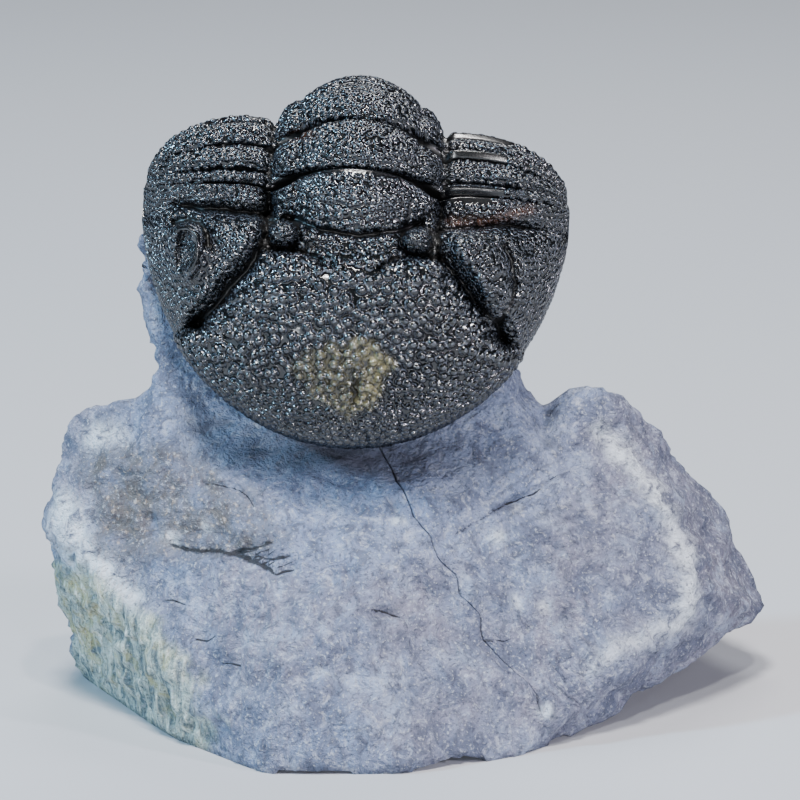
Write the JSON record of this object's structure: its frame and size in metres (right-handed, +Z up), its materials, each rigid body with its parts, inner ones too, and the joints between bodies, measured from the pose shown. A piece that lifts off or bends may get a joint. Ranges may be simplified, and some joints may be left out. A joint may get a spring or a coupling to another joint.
{
  "type": "trilobite fossil on limestone",
  "caption": "Curled trilobite with a granulated head shield, arched over a neck of stone on a rough limestone block with a flat resting face.",
  "frame": {"origin": "middle of the flat underside that the block stands on", "axes": "+Z up, the head shield faces -Y, +X runs along the longest side of the block"},
  "size_m": [0.0608, 0.0416, 0.0535],
  "materials": {
    "limestone": "rough",
    "black_calcite": "glossy"
  },
  "bodies": {
    "root": {"matrix": "limestone", "cephalon": "black_calcite", "thoracic_segment_01": "black_calcite", "thoracic_segment_02": "black_calcite", "thoracic_segment_03": "black_calcite", "thoracic_segment_04": "black_calcite", "thoracic_segment_05": "black_calcite", "thoracic_segment_06": "black_calcite", "thoracic_segment_07": "black_calcite", "thoracic_segment_08": "black_calcite", "thoracic_segment_09": "black_calcite", "thoracic_segment_10": "black_calcite", "thoracic_segment_11": "black_calcite", "pygidium": "black_calcite"}
  },
  "joints": []
}
